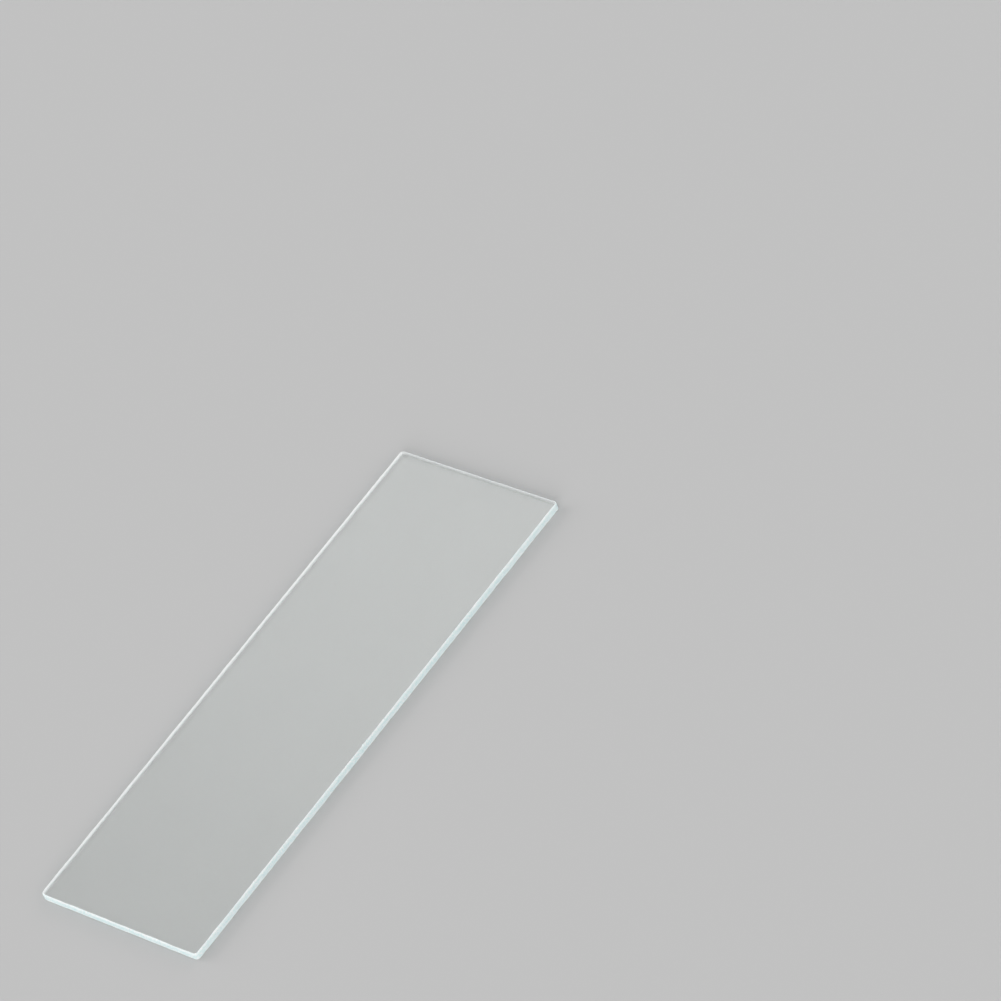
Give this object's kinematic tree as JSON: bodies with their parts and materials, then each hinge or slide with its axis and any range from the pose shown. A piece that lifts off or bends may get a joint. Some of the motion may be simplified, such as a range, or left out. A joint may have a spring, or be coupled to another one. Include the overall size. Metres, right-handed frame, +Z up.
{
  "type": "microscope slide",
  "caption": "Plain clear glass microscope slide, a thin flat rectangular pane with ground, lightly bevelled edges, for carrying a specimen on a microscope stage.",
  "frame": {"origin": "middle of the underside, on the surface that the slide lies on", "axes": "+X along the slide's length, +Y across its width, +Z up through the glass to the specimen face"},
  "size_m": [0.0762, 0.0254, 0.0011],
  "materials": {
    "clear_glass": "clear polished faces, and a finely ground rim that reads white with a faint blue-green tint"
  },
  "bodies": {
    "root": {"glass_slide": "clear_glass"}
  },
  "joints": []
}
